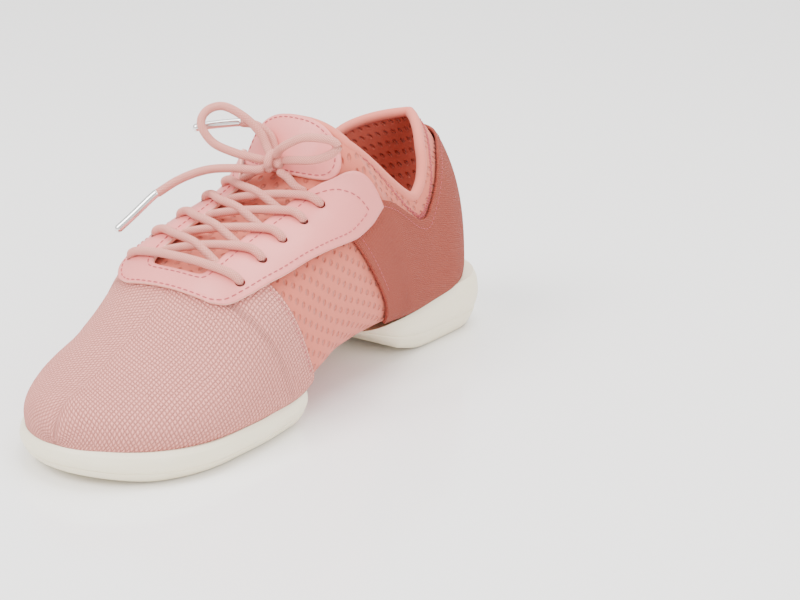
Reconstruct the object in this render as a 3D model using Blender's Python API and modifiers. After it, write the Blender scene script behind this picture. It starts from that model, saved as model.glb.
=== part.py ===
"""Low dance sneaker for the right foot, with a split sole.

World axes: +Z up, -Y towards the toe, +X towards the inner (medial) side of the foot.
Sizes in the tables are millimetres: u runs from the heel to the toe, v from the middle of the
shoe outwards, and w up from the floor. The origin lies on the floor under the middle of the shoe.
"""
import bpy
import bmesh
import math
import numpy as np
from mathutils import Vector

MM = 0.001
LENGTH = 262.0
SIDE_SHIFT = -0.9
WALL = 2.4
CANVAS = 1.4
LEATHER = 1.6
GAP = 0.3
CANVAS_LIFT = 1.0
INSOLE = 2.6
INSOLE_CLEAR = 4.0
LACE = 3.6
EYELET = 4.4
HEEL_START, TOE_END = 8.0, 258.0
HEEL_ROUND, TOE_ROUND, TOE_DROP = 34.0, 52.0, 12.0
TONGUE_TOP = 72.0
QUARTER_FRONT, VAMP_REAR = 88.0, 150.0
FACING_LIFT = CANVAS_LIFT + CANVAS + 0.5

# The last, one row for each section plane. A plane leans forward from its base to its crest.
LAST_COLUMNS = ("base", "crest_u", "medial", "lateral", "widest", "crest", "bottom", "round", "under", "lean")
LAST = np.array([
    (8, 26, 30.0, 30.0, 34.0, 97.0, 17.5, 2.7, 3.5, 3.0),
    (20, 41, 30.0, 30.0, 34.0, 100.0, 17.5, 2.7, 3.5, 2.8),
    (40, 65, 31.0, 31.0, 35.0, 105.0, 17.0, 2.7, 3.5, 2.4),
    (60, 90, 33.0, 33.0, 37.0, 109.0, 16.5, 2.7, 3.5, 1.7),
    (72, 105, 34.5, 34.8, 39.0, 110.0, 16.0, 2.7, 3.3, 1.4),
    (80, 117, 35.5, 36.0, 41.0, 91.0, 15.5, 2.8, 3.0, 1.2),
    (88, 127, 36.5, 37.2, 43.0, 80.5, 15.0, 3.0, 2.8, 1.2),
    (104, 139, 38.0, 39.3, 43.0, 76.5, 14.0, 3.0, 2.6, 1.2),
    (120, 150, 39.0, 41.0, 40.0, 73.5, 13.0, 3.0, 2.6, 1.1),
    (136, 162, 40.0, 42.5, 32.0, 70.5, 11.5, 3.0, 2.8, 1.1),
    (150, 172, 41.0, 43.5, 26.0, 67.5, 10.0, 3.0, 3.2, 1.0),
    (160, 182, 42.0, 44.0, 22.0, 63.5, 9.2, 2.9, 3.5, 1.0),
    (170, 190, 42.5, 44.2, 20.0, 57.0, 9.0, 2.6, 3.5, 1.0),
    (185, 201, 42.5, 44.0, 18.5, 49.5, 9.0, 2.3, 3.5, 1.0),
    (200, 212, 42.0, 43.2, 17.5, 43.5, 9.0, 2.1, 3.5, 1.0),
    (216, 225, 41.0, 41.8, 17.0, 38.0, 9.2, 2.1, 3.5, 1.0),
    (232, 237, 40.5, 40.5, 17.0, 33.0, 9.8, 2.1, 3.5, 1.0),
    (246, 248, 40.0, 40.0, 17.0, 29.5, 10.8, 2.1, 3.3, 1.0),
    (258, 258, 39.0, 39.0, 17.0, 28.0, 11.5, 2.1, 3.3, 1.0),
])

# Height of the collar's edge and of the canvas quarter's edge at each section.
TOPLINE_COLUMNS = ("base", "collar", "quarter")
TOPLINE = np.array([
    (8, 97.0, 88.0),
    (17, 95.5, 87.0),
    (27, 92.5, 84.0),
    (34, 89.0, 79.5),
    (41, 82.0, 73.0),
    (48, 75.0, 66.0),
    (55, 71.3, 61.0),
    (60, 75.5, 63.0),
    (66, 86.0, 69.0),
    (72, 100.5, 75.5),
    (78, 100.0, 79.0),
    (88, 80.0, 75.0),
])

# The facing's edges, as section and share of the way from crest to widest line.
FACING_COLUMNS = ("inner_base", "inner_share", "outer_base", "outer_share")
FACING = np.array([
    (162.0, 0.000, 170.5, 0.000),
    (162.0, 0.060, 170.8, 0.120),
    (161.5, 0.100, 170.8, 0.220),
    (159.0, 0.120, 168.5, 0.320),
    (152.0, 0.122, 161.0, 0.415),
    (140.0, 0.124, 147.0, 0.490),
    (126.0, 0.126, 130.0, 0.550),
    (112.0, 0.132, 113.0, 0.610),
    (100.0, 0.142, 98.0, 0.660),
    (92.0, 0.150, 86.0, 0.695),
    (86.0, 0.160, 75.5, 0.710),
])
FACING_CROWN = 4.5
EYELET_BASES = (158.5, 142.5, 123.0, 102.5, 86.0)
EYELET_SHARE = 0.325

# Sole outline and heights: a row for each station along the shoe.
SOLE_COLUMNS = ("u", "medial", "lateral", "rim", "ground")
HEEL_PAD = np.array([
    (0, 33.0, 33.0, 25.0, 1.0),
    (12, 33.0, 33.0, 24.5, 0.0),
    (40, 33.0, 34.0, 23.0, 0.0),
    (56, 33.0, 34.5, 22.0, 0.4),
    (74, 32.0, 35.0, 20.5, 4.5),
    (90, 31.0, 36.0, 19.5, 11.0),
])
FOREFOOT_PAD = np.array([
    (146, 40.0, 45.0, 19.5, 4.0),
    (154, 42.0, 46.0, 17.5, 0.6),
    (166, 44.0, 47.5, 14.0, 0.0),
    (190, 46.0, 47.8, 12.2, 0.0),
    (215, 46.0, 46.5, 12.2, 0.0),
    (240, 46.0, 45.5, 13.5, 0.3),
    (262, 46.0, 45.0, 15.5, 3.2),
])
SIDE_COLUMNS = ("inset", "share")
SIDE = np.array([(5.5, 0.0), (3.6, 0.10), (1.2, 0.36), (0.0, 0.62), (0.5, 0.84), (2.2, 1.0)])



def column(table, names, name, at):
    """Read one column of a table at the places given, by smooth (monotone cubic) interpolation."""
    x, y = table[:, 0], table[:, names.index(name)]
    at = np.clip(np.asarray(at, float), x[0], x[-1])
    step = np.diff(x)
    slope = np.diff(y) / step
    tangent = np.zeros_like(y)
    same = slope[:-1] * slope[1:] > 0
    mean = 2 * slope[:-1] * slope[1:] / np.where(same, slope[:-1] + slope[1:], 1)
    tangent[1:-1] = np.where(same, mean, 0)
    tangent[0], tangent[-1] = slope[0], slope[-1]
    i = np.clip(np.searchsorted(x, at, side="right") - 1, 0, len(x) - 2)
    s = (at - x[i]) / step[i]
    return (y[i] * (1 + 2 * s) * (1 - s) ** 2 + tangent[i] * step[i] * s * (1 - s) ** 2
            + y[i + 1] * s ** 2 * (3 - 2 * s) + tangent[i + 1] * step[i] * s ** 2 * (s - 1))


def last(base, share, side):
    """Points (u, v, w) of the last.

    share runs from 0 at the crest over 1 at the widest line to 2 at the middle of the bottom. A section
    is a superellipse above and below its widest line, and rounds off to nothing at heel and toe.
    """
    base, share = np.broadcast_arrays(np.asarray(base, float), np.asarray(share, float))
    read = {name: column(LAST, LAST_COLUMNS, name, base) for name in LAST_COLUMNS[1:]}
    heel = np.clip((base - HEEL_START) / HEEL_ROUND, 0, 1)
    toe = np.clip((TOE_END - base) / TOE_ROUND, 0, 1)
    drop = np.clip((TOE_END - base) / TOE_DROP, 0, 1)
    cap = np.sqrt(1 - (1 - heel) ** 2) * np.sqrt(1 - (1 - toe) ** 2)
    drop = np.sqrt(1 - (1 - drop) ** 2)
    angle = np.radians(90) * (1 - share)
    power = 2 / np.where(share <= 1, read["round"], read["under"])
    reach = np.where(share <= 1, read["crest"] - read["widest"], read["widest"] - read["bottom"]) * drop
    half = np.where(side > 0, read["medial"], read["lateral"]) * cap
    v = side * half * np.clip(np.cos(angle), 0, 1) ** power
    w = read["widest"] + np.sign(np.sin(angle)) * reach * np.abs(np.sin(angle)) ** power
    rise = np.clip((w - read["bottom"]) / (read["crest"] - read["bottom"]), 0, 1)
    u = base + (read["crest_u"] - base) * rise ** read["lean"]
    return np.stack([u, v, w], axis=-1)


def edge_share(base, edge):
    """Share at which each section of the last reaches the height of the named topline edge."""
    crest, widest = (column(LAST, LAST_COLUMNS, name, base) for name in ("crest", "widest"))
    power = column(LAST, LAST_COLUMNS, "round", base) / 2
    height = column(TOPLINE, TOPLINE_COLUMNS, edge, base)
    ratio = np.clip((height - widest) / (crest - widest), 0, 1)
    return 1 - np.degrees(np.arcsin(ratio ** power)) / 90


def to_world(points):
    """Turn (u, v, w) in millimetres into world metres."""
    points = np.asarray(points, float)
    u, v, w = points[..., 0], points[..., 1], points[..., 2]
    return np.stack([v - SIDE_SHIFT, LENGTH / 2 - u, w], axis=-1) * MM


def stations(start, end, count):
    """Section places from start to end, closer together towards the heel and toe tips."""
    s = np.linspace(0, 1, count)
    places = start + (end - start) * s
    if start <= HEEL_START:
        places = start + (end - start) * s ** 1.6
    if end >= TOE_END:
        places = end - (end - start) * (1 - s) ** 1.7
    return places


def share_lines(top, bottom):
    """Shares from the top edge given over the widest line to the lower edge: the same lines on every shell."""
    upper = np.array((0, 0.16, 0.32, 0.48, 0.64, 0.80, 1.0))
    lower = np.array((0.12, 0.24, 0.42))
    top, bottom = np.asarray(top)[:, None], np.asarray(bottom)[:, None]
    stretch = np.where(bottom > 1.42, (bottom - 1) / 0.42, 1)
    wall = top + (1 - top) * upper[None, :]
    under = 1 + lower[None, :] * stretch
    return np.hstack([wall, under])


def rear_sections():
    """Sections from the heel to the tongue's top, shared by all that lies there."""
    return stations(HEEL_START, TONGUE_TOP, 12)


def toe_sections():
    """Sections from the end of the laces to the toe tip, shared by all that lies there."""
    return stations(170, TOE_END, 12)


def add_grid(mesh, points, flip):
    """Add a grid of (u, v, w) points to a bmesh as quads."""
    rows, columns = points.shape[:2]
    verts = [mesh.verts.new(p) for p in to_world(points).reshape(-1, 3)]
    for i in range(rows - 1):
        for j in range(columns - 1):
            a, b = i * columns + j, i * columns + j + 1
            face = [verts[k] for k in (a, b, b + columns, a + columns)]
            mesh.faces.new(face[::-1] if flip else face)


def open_surface(grids):
    """Join the two sides' grids of the last into one open surface that faces out."""
    mesh = bmesh.new()
    for points, side in grids:
        add_grid(mesh, points, side > 0)
    bmesh.ops.remove_doubles(mesh, verts=mesh.verts, dist=0.00003)
    bmesh.ops.dissolve_degenerate(mesh, dist=0.00001, edges=mesh.edges)
    mesh.normal_update()
    return mesh


def both_sides(bases, shares):
    """The last's medial and lateral grids for the sections and shares given."""
    return [(last(bases, shares, side), side) for side in (1, -1)]


def material(name, colour, roughness, metallic=0.0):
    """A plain Principled material."""
    new = bpy.data.materials.new(name)
    new.use_nodes = True
    shader = new.node_tree.nodes["Principled BSDF"]
    shader.inputs["Base Color"].default_value = (*colour, 1)
    shader.inputs["Roughness"].default_value = roughness
    shader.inputs["Metallic"].default_value = metallic
    return new


def add_object(name, mesh, finish, collection):
    """Put a bmesh into the scene as an object."""
    data = bpy.data.meshes.new(name)
    mesh.to_mesh(data)
    mesh.free()
    data.shade_smooth()
    data.set_sharp_from_angle(angle=math.radians(35))
    new = bpy.data.objects.new(name, data)
    if finish:
        data.materials.append(finish)
    collection.objects.link(new)
    return new


def thicken(piece, thickness, direction):
    """Give an open surface its wall: direction 1 grows outwards, -1 inwards."""
    wall = piece.modifiers.new("wall", "SOLIDIFY")
    wall.thickness = thickness * MM
    wall.offset = direction


def shell(name, grids, lift, thickness, direction, finish, collection):
    """A wall that lies a set height above the last's surface."""
    mesh = open_surface(grids)
    for vert, normal in [(vert, vert.normal.copy()) for vert in mesh.verts]:
        vert.co += normal * lift * MM
    piece = add_object(name, mesh, finish, collection)
    thicken(piece, thickness, direction)
    return piece


def make_upper(finish, collection):
    """The stretch bootie: arch sides, front, collar and the floor between the sole pads."""
    rear = rear_sections()
    middle = (72.001, 76, 80, 84, 88, 98, 108, 118, 128, 139, 150, 160, 165)
    front = np.concatenate([middle, toe_sections()])
    bases = np.concatenate([rear, front])
    top = np.where(bases <= TONGUE_TOP, edge_share(np.minimum(bases, TONGUE_TOP), "collar"), 0)
    closed = 2.0
    opening = 1.42
    arch = (bases > 62) & (bases < 158)
    tips = (bases <= HEEL_START) | (bases >= TOE_END)
    bottom = np.where(arch, closed, opening)
    bottom = np.where(tips, opening, bottom)
    shares = share_lines(top, bottom)
    return shell("upper", both_sides(bases[:, None], shares), 0, WALL, -1, finish, collection)


def make_quarter(finish, collection):
    """The canvas round the heel, with a band on each side that runs up to the facing."""
    bases = np.concatenate([rear_sections(), (76, 80, 84, QUARTER_FRONT)])
    top = edge_share(bases, "quarter")
    shares = share_lines(top, np.full(len(bases), 1.42))
    return shell("heel_quarter", both_sides(bases[:, None], shares), CANVAS_LIFT, CANVAS, 1, finish, collection)


def make_vamp(finish, collection):
    """The canvas over the forefoot, open where the laces are."""
    bases = np.concatenate([(VAMP_REAR, 160, 165, 165.01), toe_sections()])
    throat = np.where(bases <= 165, 0.32, 0.0)
    shares = share_lines(np.zeros(len(bases)), np.full(len(bases), 1.42))[:, :-1]
    shares = np.maximum(shares, throat[:, None])
    return shell("vamp", both_sides(bases[:, None], shares), CANVAS_LIFT, CANVAS, 1, finish, collection)


def facing_grid(side, rows, columns):
    """Grid of the facing between its inner and outer edge; the top end bulges between them."""
    along = np.linspace(0, len(FACING) - 1, rows)
    index = np.column_stack([np.arange(len(FACING)), FACING])
    names = ("index",) + FACING_COLUMNS
    edge = {name: column(index, names, name, along)[:, None] for name in FACING_COLUMNS}
    across = np.linspace(0, 1, columns)[None, :]
    crown = FACING_CROWN * np.sin(math.pi * across) * np.clip(along - len(FACING) + 4, 0, 3)[:, None] / 3
    base = edge["inner_base"] * (1 - across) + edge["outer_base"] * across - crown
    share = edge["inner_share"] * (1 - across) + edge["outer_share"] * across
    return last(base, share, side)


def make_facing(finish, collection, cutters):
    """The leather facing with its five pairs of punched eyelets."""
    grids = [(facing_grid(side, 21, 5)[:, ::-1], side) for side in (1, -1)]
    piece = shell("facing", grids, FACING_LIFT, LEATHER, 1, finish, collection)
    for side in (1, -1):
        for number, base in enumerate(EYELET_BASES, 1):
            centre, normal = surface_frame(base, EYELET_SHARE, side)
            bpy.ops.mesh.primitive_cylinder_add(vertices=8, radius=EYELET / 2 * MM, depth=12 * MM)
            cutter = bpy.context.object
            cutter.name = f"cutter_eyelet_{'medial' if side > 0 else 'lateral'}_{number}"
            cutter.location = centre + normal * 2 * MM
            cutter.rotation_euler = normal.to_track_quat("Z", "Y").to_euler()
            move_to(cutter, cutters)
            hole = piece.modifiers.new(cutter.name, "BOOLEAN")
            hole.object = cutter
            hole.operation = "DIFFERENCE"
    return piece


def surface_frame(base, share, side):
    """World point of the last's surface and its outward normal there."""
    step = 0.01
    here = to_world(last(base, share, side))
    along = to_world(last(base + 1, share, side)) - here
    across = to_world(last(base, share + step, side)) - here
    normal = np.cross(along, across) * side
    return Vector(here), Vector(normal).normalized()


def move_to(piece, collection):
    """Unlink an object from where it was made, and mark it as a cutter."""
    for owner in list(piece.users_collection):
        owner.objects.unlink(piece)
    collection.objects.link(piece)
    piece.hide_render = True
    piece.display_type = "WIRE"


def make_patch(finish, collection):
    """Oval leather patch that lies on the front collar, from its top edge down."""
    middle, reach, wide = 76.9, 4.3, 0.37
    spokes, rings = 20, 3
    around = np.linspace(0, 2 * math.pi, spokes + 1)
    radius = np.linspace(0.0, 1.0, rings + 1)[:, None]
    share = wide * radius * np.cos(around)
    base = middle + reach * radius * np.sin(around) * np.ones_like(share)
    side = np.where(share >= 0, 1.0, -1.0)
    points = last(base, np.abs(share), side)
    mesh = bmesh.new()
    add_grid(mesh, points, False)
    bmesh.ops.remove_doubles(mesh, verts=mesh.verts, dist=0.00003)
    bmesh.ops.dissolve_degenerate(mesh, dist=0.00001, edges=mesh.edges)
    mesh.normal_update()
    if sum((face.normal for face in mesh.faces), Vector()).z < 0:
        bmesh.ops.reverse_faces(mesh, faces=mesh.faces)
        mesh.normal_update()
    for vert, normal in [(vert, vert.normal.copy()) for vert in mesh.verts]:
        vert.co += normal * 2 * GAP * MM
    piece = add_object("tongue_patch", mesh, finish, collection)
    thicken(piece, LEATHER, 1)
    return piece


def make_insole(finish, collection):
    """Footbed that lies on the bottom of the bootie."""
    bases = np.concatenate([np.linspace(30, 60, 6), np.linspace(72, 170, 10), np.linspace(182, 230, 7)])
    edge = np.interp(bases, (40, 62, 158, 175), (1.60, 1.78, 1.78, 1.60))
    shares = edge[:, None] + (2 - edge)[:, None] * np.linspace(0, 1, 6)[None, :]
    mesh = open_surface(both_sides(bases[:, None], shares))
    for vert in mesh.verts:
        vert.co.z += (WALL + INSOLE_CLEAR) * MM
    bmesh.ops.reverse_faces(mesh, faces=mesh.faces)
    piece = add_object("insole", mesh, finish, collection)
    thicken(piece, INSOLE, 1)
    return piece


def lasted_volume(cutters):
    """Closed form of the lasted upper with its canvas, for seating the soles."""
    bases = np.concatenate([stations(HEEL_START, 88, 16), np.linspace(95, 165, 11), stations(170, TOE_END, 16)])
    shares = np.concatenate([np.linspace(0.5, 1.22, 9), np.linspace(1.32, 2.0, 7)])
    mesh = open_surface(both_sides(bases[:, None], shares[None, :]))
    for vert, normal in [(vert, vert.normal.copy()) for vert in mesh.verts]:
        vert.co += normal * FACING_LIFT * MM
    bmesh.ops.holes_fill(mesh, edges=[e for e in mesh.edges if e.is_boundary], sides=0)
    bmesh.ops.recalc_face_normals(mesh, faces=mesh.faces)
    volume = add_object("cutter_last", mesh, None, cutters)
    volume.hide_render = True
    volume.display_type = "WIRE"
    return volume


def pad_outline(table, count, rear_round, front_round):
    """Plan outline of a sole pad: (u, v) round the pad, heel end to toe end and back."""
    turn = np.linspace(0, math.pi, count)
    start, end = table[0, 0], table[-1, 0]
    u = start + (end - start) * (1 - np.cos(turn)) / 2
    rear = np.clip((u - start) / rear_round, 0, 1)
    front = np.clip((end - u) / front_round, 0, 1)
    cap = np.sqrt(1 - (1 - rear) ** 2.4) * np.sqrt(1 - (1 - front) ** 2)
    medial = column(table, SOLE_COLUMNS, "medial", u) * cap
    lateral = -column(table, SOLE_COLUMNS, "lateral", u) * cap
    return np.concatenate([np.column_stack([u, medial]), np.column_stack([u, lateral])[-2:0:-1]])


def make_pad(name, table, rounds, finish, collection, cutter):
    """A rubber pad: rings up its side from the floor to the rim, cut to the lasted upper."""
    count = 19
    outline = pad_outline(table, count, *rounds)
    tangent = np.roll(outline, -1, 0) - np.roll(outline, 1, 0)
    normal = np.column_stack([tangent[:, 1], -tangent[:, 0]])
    normal /= np.linalg.norm(normal, axis=1)[:, None]
    rim = column(table, SOLE_COLUMNS, "rim", outline[:, 0])
    ground = column(table, SOLE_COLUMNS, "ground", outline[:, 0])
    mesh = bmesh.new()
    rings = []
    for inset, share in SIDE:
        place = outline + normal * inset
        height = ground + (rim - ground) * share
        points = to_world(np.column_stack([place, height]))
        rings.append([mesh.verts.new(p) for p in points])
    total = len(outline)
    for lower, upper in zip(rings, rings[1:]):
        for i in range(total):
            j = (i + 1) % total
            mesh.faces.new((lower[i], lower[j], upper[j], upper[i]))
    for ring in (rings[0], rings[-1]):
        for i in range(count - 1):
            corners = [ring[i], ring[i + 1], ring[(total - i - 1) % total], ring[(total - i) % total]]
            mesh.faces.new(list(dict.fromkeys(corners)))
    bmesh.ops.recalc_face_normals(mesh, faces=mesh.faces)
    piece = add_object(name, mesh, finish, collection)
    seat = piece.modifiers.new("seat", "BOOLEAN")
    seat.object = cutter
    seat.operation = "DIFFERENCE"
    return piece


def smooth_route(points, spacing):
    """Points at even spacing on a Catmull-Rom curve through the route's own points."""
    points = np.asarray(points, float)
    padded = np.vstack([2 * points[0] - points[1], points, 2 * points[-1] - points[-2]])
    s = np.linspace(0, 1, 12, endpoint=False)[:, None]
    runs = []
    for a, b, c, d in zip(padded, padded[1:], padded[2:], padded[3:]):
        runs.append(0.5 * (2 * b + (c - a) * s + (2 * a - 5 * b + 4 * c - d) * s ** 2
                           + (3 * b - a - 3 * c + d) * s ** 3))
    fine = np.vstack(runs + [points[-1:]])
    length = np.concatenate([[0], np.cumsum(np.linalg.norm(np.diff(fine, axis=0), axis=1))])
    even = np.linspace(0, length[-1], max(3, int(round(length[-1] / spacing)) + 1))
    return np.column_stack([np.interp(even, length, fine[:, k]) for k in range(3)])


def tube(name, route, diameter, finish, collection, spacing=8.0, sides=2):
    """A lace stretch: a bevelled curve with filled caps along a route in (u, v, w)."""
    points = to_world(smooth_route(route, spacing))
    curve = bpy.data.curves.new(name, "CURVE")
    curve.dimensions = "3D"
    curve.bevel_depth = diameter / 2 * MM
    curve.bevel_resolution = sides
    curve.use_fill_caps = True
    spline = curve.splines.new("POLY")
    spline.points.add(len(points) - 1)
    for point, place in zip(spline.points, points):
        point.co = (*place, 1)
    new = bpy.data.objects.new(name, curve)
    curve.materials.append(finish)
    collection.objects.link(new)
    return new


def as_mesh(piece, collection):
    """Turn a curve object into a mesh object with welded caps."""
    depsgraph = bpy.context.evaluated_depsgraph_get()
    data = bpy.data.meshes.new_from_object(piece.evaluated_get(depsgraph))
    name = piece.name
    bpy.data.objects.remove(piece)
    mesh = bmesh.new()
    mesh.from_mesh(data)
    bmesh.ops.remove_doubles(mesh, verts=mesh.verts, dist=0.00001)
    mesh.to_mesh(data)
    mesh.free()
    new = bpy.data.objects.new(name, data)
    collection.objects.link(new)
    return new


def strand(base, share, side, target, lift):
    """Route from the middle of the throat over the facing to the eyelet of the section target."""
    height = FACING_LIFT + LEATHER + LACE / 2 + GAP
    route = []
    for k in np.linspace(0, 1, 5):
        section = base + (target - base) * k
        place = share + (EYELET_SHARE - share) * k
        point, normal = surface_frame(section, max(place, 0.001), side)
        extra = lift * math.sin(math.pi * min(1, 0.5 + 0.5 * k))
        world = np.array(point + normal * (height + extra) * MM) / MM
        route.append((LENGTH / 2 - world[1], world[0] + SIDE_SHIFT, world[2]))
    return route


def make_lacing(finish, collection, cutters):
    """The bottom bar and the crossings, each crossing two strands joined where they meet."""
    bar = strand(EYELET_BASES[0], 0.02, -1, EYELET_BASES[0], 0.6)[::-1]
    bar += strand(EYELET_BASES[0], 0.02, 1, EYELET_BASES[0], 0.6)
    tube("lace_bar", bar, LACE, finish, collection)
    for number, (low, high) in enumerate(zip(EYELET_BASES, EYELET_BASES[1:]), 1):
        start = low + (high - low) * 0.30
        middle = low + (high - low) * 0.62
        pieces = []
        for side in (1, -1):
            far = strand(middle, 0.01, side, high, 0.8)
            near = strand(middle, 0.01, -side, start, 0.8)[1:3]
            route = near[::-1] + far
            name = f"lace_crossing_{number}" if side > 0 else f"cutter_strand_{number}"
            pieces.append(as_mesh(tube(name, route, LACE, finish, collection), collection))
        main, other = pieces
        move_to(other, cutters)
        joint = main.modifiers.new("join", "BOOLEAN")
        joint.object = other
        joint.operation = "UNION"


# Routes of the knot, loops and ends, as (u, v, w).
KNOT = ((123, 0, 93.5), (126, 0, 98.0))
LOOP_MEDIAL = ((123, 4.5, 96.5), (124, 12, 98), (122.5, 20, 99), (119.5, 26, 101.5), (118, 29, 105),
               (120, 26, 108), (125, 17, 108.5), (127.5, 10, 105), (126, 5, 101.5))
LOOP_LATERAL = ((127, -5, 96.5), (132, -14, 99), (136, -22, 103), (137, -27, 110), (133, -27, 115),
                (128, -22, 116.5), (124, -14, 112), (122, -8, 106), (122, -5, 101.5))
END_FRONT = ((129, -4, 92.5), (134, -12, 93), (141, -21, 92.5), (149, -29, 89), (157, -36, 83))
END_REAR = ((118, -3.5, 97.5), (115, -8, 103), (116, -15, 107), (120, -21, 108))
AGLET_FRONT = ((157.6, -36.6, 82.4), (165, -42, 74.5), (170.5, -46.0, 69.0))
AGLET_REAR = ((120.6, -21.8, 108.0), (127, -30, 107.0), (131.8, -36, 105.8))


def make_bow(finish, metal, collection):
    """The knot, the two loops and the two ends with their metal aglets."""
    tube("lace_knot", KNOT, 6.4, finish, collection, 2.0)
    tube("lace_loop_medial", LOOP_MEDIAL, LACE, finish, collection)
    tube("lace_loop_lateral", LOOP_LATERAL, LACE, finish, collection)
    tube("lace_end_front", END_FRONT, LACE, finish, collection)
    tube("lace_end_rear", END_REAR, LACE, finish, collection)
    tube("aglet_front", AGLET_FRONT, LACE, metal, collection)
    tube("aglet_rear", AGLET_REAR, LACE, metal, collection)


def main():
    for old in list(bpy.data.objects):
        bpy.data.objects.remove(old)
    shoe = bpy.data.collections.new("dance_sneaker")
    cutters = bpy.data.collections.new("cutters")
    for collection in (shoe, cutters):
        bpy.context.scene.collection.children.link(collection)
    neoprene = material("stretch_lining", (0.60, 0.34, 0.29), 0.75)
    canvas = material("vamp_canvas", (0.70, 0.45, 0.43), 0.9)
    twill = material("quarter_canvas", (0.56, 0.30, 0.27), 0.9)
    leather = material("facing_leather", (0.68, 0.47, 0.48), 0.5)
    rubber = material("sole_rubber", (0.80, 0.78, 0.70), 0.5)
    footbed = material("footbed", (0.42, 0.20, 0.19), 0.9)
    cord = material("lace_cord", (0.82, 0.60, 0.56), 0.85)
    metal = material("aglet_metal", (0.75, 0.75, 0.74), 0.2, 1.0)
    make_upper(neoprene, shoe)
    make_quarter(twill, shoe)
    make_vamp(canvas, shoe)
    make_facing(leather, shoe, cutters)
    make_patch(leather, shoe)
    make_insole(footbed, shoe)
    seat = lasted_volume(cutters)
    make_pad("heel_sole", HEEL_PAD, (30.0, 16.0), rubber, shoe, seat)
    make_pad("forefoot_sole", FOREFOOT_PAD, (14.0, 54.0), rubber, shoe, seat)
    make_lacing(cord, shoe, cutters)
    make_bow(cord, metal, shoe)


main()
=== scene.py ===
"""Looks of a low split-sole dance sneaker for the right foot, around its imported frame."""
import math

import bmesh
import bpy
import numpy as np
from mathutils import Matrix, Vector


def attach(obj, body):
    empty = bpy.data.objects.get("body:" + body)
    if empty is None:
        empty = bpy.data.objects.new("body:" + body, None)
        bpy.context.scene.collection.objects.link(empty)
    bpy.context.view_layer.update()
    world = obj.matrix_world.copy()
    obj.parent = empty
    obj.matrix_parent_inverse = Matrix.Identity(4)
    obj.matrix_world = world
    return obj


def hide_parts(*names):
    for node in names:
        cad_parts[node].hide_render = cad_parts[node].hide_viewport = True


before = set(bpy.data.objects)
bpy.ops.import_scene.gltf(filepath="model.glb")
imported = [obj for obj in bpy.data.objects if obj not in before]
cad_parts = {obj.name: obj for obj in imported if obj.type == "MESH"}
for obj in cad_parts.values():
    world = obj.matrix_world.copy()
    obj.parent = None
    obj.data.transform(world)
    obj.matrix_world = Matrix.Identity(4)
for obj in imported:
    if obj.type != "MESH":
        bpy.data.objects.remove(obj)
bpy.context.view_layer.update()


# Camera, floor and studio light.
# The camera stands in front of the shoe's inner side, looking down at it by about 19 degrees,
# from far enough away that the perspective stays mild. A pale floor runs up into a pale room.
CAMERA_PLACE = (0.6183, -0.7717, 0.3765)
CAMERA_LOOK = (-0.5476, 0.7709, -0.3252)
CAMERA_LENS = 112.5
FLOOR_COLOUR = (0.93, 0.92, 0.91)

camera_data = bpy.data.cameras.new("camera")
camera_data.lens = CAMERA_LENS
camera_data.sensor_width = 36
camera = bpy.data.objects.new("camera", camera_data)
bpy.context.scene.collection.objects.link(camera)
camera.location = CAMERA_PLACE
camera.rotation_euler = Vector(CAMERA_LOOK).to_track_quat("-Z", "Y").to_euler()
bpy.context.scene.camera = camera


def new_material(name, colour, roughness, **sockets):
    """A material with its Principled shader's own sockets set; returns both and the links."""
    made = bpy.data.materials.new(name)
    made.use_nodes = True
    shader = made.node_tree.nodes["Principled BSDF"]
    shader.inputs["Base Color"].default_value = (*colour, 1)
    shader.inputs["Roughness"].default_value = roughness
    for socket, value in sockets.items():
        shader.inputs[socket.replace("_", " ").title().replace("Ior", "IOR")].default_value = value
    return made, shader, made.node_tree.links


def add_mesh(name, points, faces, uv=None):
    """Put an array of points in metres and an array of faces into a smooth mesh object."""
    data = bpy.data.meshes.new(name)
    data.from_pydata(points.reshape(-1, 3).tolist(), [], faces.tolist())
    if uv is not None:
        loops = np.empty(len(data.loops), dtype=np.int32)
        data.loops.foreach_get("vertex_index", loops)
        layer = data.uv_layers.new(name="cloth")
        layer.data.foreach_set("uv", uv.reshape(-1, 2)[loops].ravel().astype(np.float32))
    data.shade_smooth()
    made = bpy.data.objects.new(name, data)
    bpy.context.scene.collection.objects.link(made)
    return made


def light(name, place, size, power, colour=(1, 1, 1)):
    """A square soft box that points at the shoe."""
    data = bpy.data.lights.new(name, "AREA")
    data.size = size
    data.energy = power
    data.color = colour
    made = bpy.data.objects.new(name, data)
    bpy.context.scene.collection.objects.link(made)
    made.location = place
    made.rotation_euler = (Vector((0, 0, 0.04)) - Vector(place)).to_track_quat("-Z", "Y").to_euler()
    return made


floor_corners = np.array([(-6, -6, -0.0004), (6, -6, -0.0004), (6, 6, -0.0004), (-6, 6, -0.0004)])
floor = add_mesh("floor", floor_corners, np.array([(0, 1, 2, 3)]))
floor_material, _, _ = new_material("floor_paper", FLOOR_COLOUR, 0.16)
floor.data.materials.append(floor_material)
light("key_light", (-0.5, -1.3, 1.5), 1.1, 44)
light("fill_light", (1.5, -0.5, 0.9), 1.2, 18)
light("top_light", (0.1, 0.4, 1.7), 1.3, 36)
world = bpy.data.worlds.new("studio")
world.use_nodes = True
world.node_tree.nodes["Background"].inputs["Color"].default_value = (1, 0.99, 0.98, 1)
world.node_tree.nodes["Background"].inputs["Strength"].default_value = 1.4
bpy.context.scene.world = world


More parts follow.
